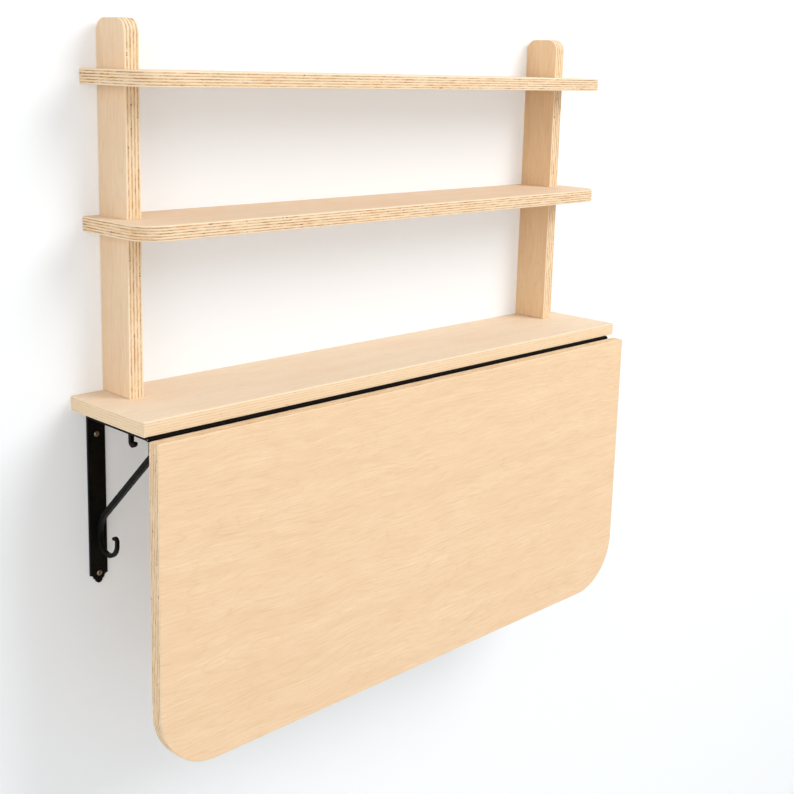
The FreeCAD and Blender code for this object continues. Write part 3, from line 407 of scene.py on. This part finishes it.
# The hook is a shorter bar that comes down from the arm and turns up forwards.
HOOK_Y, HOOK_DROP = -77.5 * MM, 23.2 * MM
HOOK_TURN, HOOK_RISE = 3.9 * MM, 1.5 * MM
HOOK_BAR, HOOK_TIP = 6 * MM, 5 * MM
hook_path = drawn_path(np.array([HOOK_Y, UNDERSIDE - ARM]), -90, [
    (HOOK_DROP, 0), (math.pi * HOOK_TURN, -180), (HOOK_RISE, 0),
])
hook_widths = [(0, HOOK_BAR), (hook_path[2][-1], HOOK_TIP)]
for name, side in SIDES.items():
    x = side * BRACKET_X
    new_piece("scrolled_brace_" + name, [forged_bar(x, brace_path, brace_widths, 1.3 * side)],
              IRON, "frame", "black_iron", "bracket_brace_" + name)
    new_piece("arm_hook_" + name, [forged_bar(x, hook_path, hook_widths, 2.6 * side, every=4)],
              IRON, "frame", "black_iron", "bracket_hook_" + name)


# ---------------------------------------------------------------- screws
# Wood screws with a pressed cross recess. Bronzed pan heads hold the straps to the wall, black
# ones the arms, and zinc plated flat heads, sunk flush, the uprights and the shelves.


def plated_steel(name, colour, rough, metal=1.0):
    """Steel with a thin plated or blackened skin: one even colour, a soft sheen, faint darker
    clouds, and scratches drawn coarser than they are."""
    finish, tree, shader = new_finish(name)
    add = partial(step, tree)
    place = add("TexCoord").outputs["Object"]
    cloud = add("TexNoise", {"Vector": place, "Scale": 1 / (5 * MM), "Detail": 3.0})
    scratch = add("TexNoise", {"Vector": place, "Scale": 1 / (0.6 * MM), "Detail": 2.0})
    dull = [c * 0.72 for c in linear(colour)[:3]] + [1.0]
    mixed = add("Mix", {"Factor": cloud, UNDER: linear(colour), OVER: dull}, data_type="RGBA")
    tree.links.new(mixed.outputs[MIXED], shader.inputs["Base Color"])
    sheen = add("MapRange", {
        "Value": cloud, "From Min": 0.3, "From Max": 0.7, "To Min": rough, "To Max": rough + 0.12,
    })
    bump = add("Bump", {"Strength": 0.15, "Distance": 0.03 * MM, "Height": scratch})
    set_shader(tree, shader, Roughness=sheen, Normal=bump, Metallic=metal)
    return finish


def cross_screw(radius, head, length, pan, neck=0.0, pitch=0.0, around=32):
    """Screw along +Z from its seat, its head below Z = 0, as rows round its axis.

    A pan head is a disc whose top falls away like a quarter ellipse; a flat head is a cone. The
    cross recess is cut where |x| or |y| is under a slot's half width, and its floor rises from
    the middle outwards. The thread is a ridge whose place round the shank goes once round per
    pitch: the radius follows a triangle wave of (z / pitch - angle / 2 pi).
    """
    turn = np.linspace(0, 2 * math.pi, around, endpoint=False)
    top = 0.6 * head if pan else 0.0
    out = np.linspace(0.02, 1, 15)
    # Half width, depth and half length of the recess's slots.
    slot, deep, wide = 0.13 * head, 0.42 * head, 0.62 * head
    crown_r = out * head * (0.97 if pan else 0.99)
    x, y = crown_r[:, None] * np.cos(turn), crown_r[:, None] * np.sin(turn)
    fall = top * (1 - np.sqrt(np.clip(1 - 0.93 * out ** 2.6, 0, 1))) if pan else 0 * out
    in_slot = np.clip((slot - np.minimum(abs(x), abs(y))) / (0.4 * slot), 0, 1)
    reach = np.clip(1 - np.maximum(abs(x), abs(y)) / wide, 0, 1)
    crown_z = -top + fall[:, None] + in_slot * deep * np.sqrt(reach)
    rows = [np.dstack([x, y, crown_z])]

    # Radius and height of the rings of the head's underside, of the plain stretch below it, and
    # of the tip.
    if pan:
        below = [(head, -0.2 * head), (head, -0.03 * head), (head * 0.98, 0)]
    else:
        below = [(head, 0.02 * head), (radius, head - radius)]
    start = neck if pan else head - radius
    plain = [(radius * 0.88, 0), (radius * 0.88, start)] if neck else [(radius, start)]
    low = length - 2.2 * radius
    shank = [(radius, low)] if not pitch else []
    tip = [(radius * 0.62, length - 1.1 * radius), (radius * 0.06, length)]

    def ring(r, z):
        return np.dstack([r * np.cos(turn), r * np.sin(turn), np.zeros((1, around)) + z])

    rows += [ring(r, z) for r, z in below + plain]
    if pitch:
        z = np.linspace(start, low, max(4, int((low - start) / pitch * 8)))[:, None]
        wave = (z / pitch - turn / (2 * math.pi)) % 1
        ridge = np.clip(1 - np.abs(wave - 0.5) * 4, 0, 1)
        fade = np.clip((z - start) / pitch, 0, 1) * np.clip((low - z) / pitch, 0, 1)
        r = radius * (0.74 + 0.26 * ridge * (0.3 + 0.7 * fade))
        rows.append(np.dstack([r * np.cos(turn), r * np.sin(turn), z + 0 * turn]))
    rows += [ring(r, z) for r, z in shank + tip]
    return skin(np.vstack(rows))


def set_in_rows(screw, way, xs, ys, zs):
    """Copies of a screw with their seats at every x, y and z given, each turned a little further,
    pointing along way: up (+Z), in (+Y) or out (-Y)."""
    points, quads, triangles = screw
    frames = {
        "up": np.array([[1, 0, 0], [0, 1, 0], [0, 0, 1]]),
        "in": np.array([[1, 0, 0], [0, 0, -1], [0, 1, 0]]),
        "out": np.array([[1, 0, 0], [0, 0, 1], [0, -1, 0]]),
    }
    seats = np.stack(np.meshgrid(xs, ys, zs, indexing="ij"), axis=-1).reshape(-1, 3)
    copies = []
    for number, seat in enumerate(seats):
        turned = 2.4 * number + 0.5
        c, s = math.cos(turned), math.sin(turned)
        twist = np.array([[c, s, 0], [-s, c, 0], [0, 0, 1]])
        copies.append((points @ twist @ frames[way] + seat, quads, triangles))
    return copies


# Black oxide reads as a half matt brownish black, zinc as a pale soft grey, bronzing as a warm
# grey with a brighter glint.
BLACK_SCREW = plated_steel("black_oxide_screw", "#2B211A", 0.36, metal=0.85)
ZINC_SCREW = plated_steel("zinc_plated_screw", "#C9C6BC", 0.30)
BRONZE_SCREW = plated_steel("bronzed_screw", "#948472", 0.26, metal=0.9)

bracket_xs = [-BRACKET_X, BRACKET_X]
wall_screw = cross_screw(radius=2.4 * MM, head=3.6 * MM, length=38 * MM, pan=True,
                         neck=3.5 * MM, pitch=1.9 * MM)
wall_screw_zs = [UNDERSIDE - 34 * MM, UNDERSIDE - 212 * MM]
new_piece("wall_pan_screws",
          set_in_rows(wall_screw, "in", bracket_xs, [-STRAP], wall_screw_zs),
          BRONZE_SCREW, "frame", "screw_black", "wall_screws")
arm_screw = cross_screw(radius=2 * MM, head=3.5 * MM, length=12 * MM, pan=True)
arm_screw_ys = [-32 * MM, -97 * MM]
new_piece("arm_pan_screws",
          set_in_rows(arm_screw, "up", bracket_xs, arm_screw_ys, [UNDERSIDE - ARM]),
          BLACK_SCREW, "frame", "screw_black", "arm_screws")
upright_xs = [-UPRIGHT_MIDDLE, UPRIGHT_MIDDLE]
upright_screw = cross_screw(radius=2.2 * MM, head=4.4 * MM, length=48 * MM, pan=False)
upright_screw_ys = [-14 * MM, -44 * MM]
new_piece("upright_flat_screws",
          set_in_rows(upright_screw, "up", upright_xs, upright_screw_ys, [UNDERSIDE]),
          ZINC_SCREW, "frame", "screw_zinc", "upright_screws")
shelf_screw = cross_screw(radius=2.2 * MM, head=4.4 * MM, length=52 * MM, pan=False)
new_piece("shelf_flat_screws",
          set_in_rows(shelf_screw, "out", upright_xs, [0], list(SHELF_MIDDLES.values())),
          ZINC_SCREW, "frame", "screw_zinc", "shelf_screws")


# ---------------------------------------------------------------- hinge
# One continuous hinge of rolled steel strip runs along the joint, painted black, with a pin
# through all its knuckles. One half is screwed under the fixed board, the other behind the leaf.

# The strip's black paint is given almost no sheen: painted shade, so that the joint reads as the
# black line of the deep shade in the gap. The pin is bare drawn steel, a grey with a sharp glint.
dress(black_iron("black_hinge_painted_shade", 40, gloss=0.02), "hinge_plate_board", "hinge_plate_leaf")
dress(plated_steel("drawn_steel_pin", "#8C8880", 0.25), "hinge_pin")

HINGE_Y, HINGE_Z = -151 * MM, -11.8 * MM
KNUCKLE, HINGE_STRIP, SCREW_LINE = 2.8 * MM, 1.2 * MM, 10 * MM
small_screw = cross_screw(radius=1.5 * MM, head=2.8 * MM, length=10 * MM, pan=True, around=24)
# Ten screws hold each half, from the first to the last of these places in millimetres.
FIRST_SCREW, LAST_SCREW, SCREW_COUNT = -392, 378, 10
hinge_xs = np.linspace(FIRST_SCREW, LAST_SCREW, SCREW_COUNT) * MM
seat = KNUCKLE - HINGE_STRIP
new_piece("hinge_screws_under_board",
          set_in_rows(small_screw, "up", hinge_xs, [HINGE_Y + SCREW_LINE], [HINGE_Z + seat]),
          BLACK_SCREW, "frame", "screw_black", "hinge_screws_board")
new_piece("hinge_screws_in_leaf",
          set_in_rows(small_screw, "out", hinge_xs, [HINGE_Y - seat], [HINGE_Z - SCREW_LINE]),
          BLACK_SCREW, "leaf", "screw_black", "hinge_screws_leaf")


# ---------------------------------------------------------------- leaf
# The hanging leaf is cut from the same plywood with its face grain running along the table. Its
# two free corners are rounded to a wide arc and all its edges are eased.

HANGING = (math.pi / 2, 0, 0)
LEAF_MIDDLE = 162.8 * MM
leaf_wood = birch_plywood("sanded_birch_leaf", HANGING, (8.2, 6.4, LEAF_MIDDLE), "#FADEBA",
                          "#D6AA7C", contrast=1.05)
dress(leaf_wood, "drop_leaf")


# ---------------------------------------------------------------- folding stays
# Two folding stays carry the lifted leaf. Each is two flat links of blackened steel, riveted to
# each other and to pressed angle plates under the board and behind the leaf.

# Blackened steel is a shade paler and duller than the painted iron.
STAY_STEEL = plated_steel("satin_black_stay", "#2A2622", 0.42, metal=0.85)
STAY_PARTS = (
    "bracket_board", "bracket_leaf", "upper_link", "lower_link", "board_rivet", "elbow_rivet",
    "leaf_rivet",
)
for name in SIDES:
    dress(STAY_STEEL, *(f"stay_{part}_{name}" for part in STAY_PARTS))

STAY_PLATE, UNDER_BOARD_X, IN_LEAF_X = 2 * MM, 337 * MM, 313.4 * MM
under_board_ys, in_leaf_zs = [-66 * MM, -36 * MM], [-126.8 * MM, -96.8 * MM]
seat = KNUCKLE - STAY_PLATE
new_piece("stay_screws_under_board",
          set_in_rows(small_screw, "up", [-UNDER_BOARD_X, UNDER_BOARD_X], under_board_ys,
                      [HINGE_Z + seat]),
          BLACK_SCREW, "frame", "screw_black", "stay_screws_board")
new_piece("stay_screws_in_leaf",
          set_in_rows(small_screw, "out", [-IN_LEAF_X, IN_LEAF_X], [HINGE_Y - seat], in_leaf_zs),
          BLACK_SCREW, "leaf", "screw_black", "stay_screws_leaf")


# ---------------------------------------------------------------- room, light and camera
# A plain white wall behind, a pale floor well below, a large soft lamp at the upper right, a weaker
# one at the left and even light from all round. From behind the wall is clear, to the eye and to
# light.

FLOOR_Z = -1.45
ROOM = 6.0


def stage_sheet(name, corners, finish):
    """Flat sheet through four corners that isn't part of the table."""
    mesh = bpy.data.meshes.new(name)
    mesh.from_pydata(corners, [], [(0, 1, 2, 3)])
    mesh.materials.append(finish)
    sheet = bpy.data.objects.new(name, mesh)
    bpy.context.scene.collection.objects.link(sheet)


def seen_by_eye(add, rays):
    """1 for rays that come from the eye, straight or by way of a shiny or clear thing, else 0."""
    seen = add("Math", [rays["Is Camera Ray"], rays["Is Glossy Ray"]], operation="MAXIMUM")
    return add("Math", [seen, rays["Is Transmission Ray"]], operation="MAXIMUM")


def matt_white(name, colour, glow, clear_behind):
    """Matt paint that keeps the shadow; glow lifts it to white for the eye alone. Paint that is
    clear behind isn't seen from its back, casts no shadow, and is clear to rays that start within
    4 mm of it, so that the pieces flat on it aren't darkened."""
    finish, tree, shader = new_finish(name)
    add = partial(step, tree)
    paint = add("BsdfDiffuse", [linear(colour)])
    rays = add("LightPath").outputs
    lift = add("Math", [seen_by_eye(add, rays), glow], operation="MULTIPLY")
    light = add("Emission", {"Color": (1, 1, 1, 1), "Strength": lift})
    surface = add("AddShader", [paint, light])
    if clear_behind:
        close = add("Math", [rays["Ray Length"], 4 * MM], operation="LESS_THAN")
        behind = add("NewGeometry").outputs["Backfacing"]
        through = add("Math", [behind, rays["Is Shadow Ray"]], operation="MAXIMUM")
        through = add("Math", [through, close], operation="MAXIMUM")
        surface = add("MixShader", [through, surface, add("BsdfTransparent")])
    tree.links.new(surface.outputs[0], tree.nodes["Material Output"].inputs["Surface"])
    tree.nodes.remove(shader)
    return finish


# The wall stands half a millimetre behind the table's back.
WALL_Y = 0.5 * MM
wall_paint = matt_white("matt_wall_paint", "#E0E3E6", 0.23, True)
stage_sheet("wall", [(-ROOM, WALL_Y, FLOOR_Z), (ROOM, WALL_Y, FLOOR_Z), (ROOM, WALL_Y, ROOM),
                     (-ROOM, WALL_Y, ROOM)], wall_paint)
floor_paint = matt_white("pale_floor", "#DAD9D7", 0.40, False)
stage_sheet("floor", [(-ROOM, -ROOM, FLOOR_Z), (ROOM, -ROOM, FLOOR_Z), (ROOM, ROOM, FLOOR_Z),
                      (-ROOM, ROOM, FLOOR_Z)], floor_paint)

# The sky is seen as white and lights the table at six tenths of that.
world = bpy.data.worlds.new("studio")
bpy.context.scene.world = world
world.use_nodes = True
add = partial(step, world.node_tree)
seen = seen_by_eye(add, add("LightPath").outputs)
strength = add("MapRange", {"Value": seen, "To Min": 0.60, "To Max": 1.0})
sky = world.node_tree.nodes["Background"]
sky.inputs["Color"].default_value = (1, 1, 1, 1)
world.node_tree.links.new(strength.outputs[0], sky.inputs["Strength"])


def soft_lamp(name, place, size, energy):
    """Round lamp that faces the middle of the table."""
    disc = bpy.data.lights.new(name, "AREA")
    disc.shape = "DISK"
    disc.size = size
    disc.energy = energy
    lamp = bpy.data.objects.new(name, disc)
    lamp.location = place
    lamp.rotation_euler = (-Vector(place)).to_track_quat("-Z", "Y").to_euler()
    bpy.context.scene.collection.objects.link(lamp)


soft_lamp("key", place=(2.0, -3.1, 2.6), size=3.0, energy=121)
soft_lamp("fill", place=(-3.6, -1.7, 0.9), size=2.6, energy=35)

# The eye stands out beyond the left end, 40 cm above the board, and looks in to the right.
EYE = Vector((-1.20997, -1.28777, 0.40182))
AHEAD = Vector((0.70051, 0.686394, -0.195314)).normalized()
RIGHT = Vector((0.703351, -0.71036, 0.026202)).normalized()
lens = bpy.data.cameras.new("camera")
lens.lens = 57.419
lens.sensor_width = 36
lens.shift_y = -0.0995
camera = bpy.data.objects.new("camera", lens)
turned = Matrix((RIGHT, RIGHT.cross(AHEAD), -AHEAD)).transposed().to_4x4()
camera.matrix_world = Matrix.Translation(EYE) @ turned
bpy.context.scene.collection.objects.link(camera)
bpy.context.scene.camera = camera
bpy.context.scene.view_settings.view_transform = "Standard"
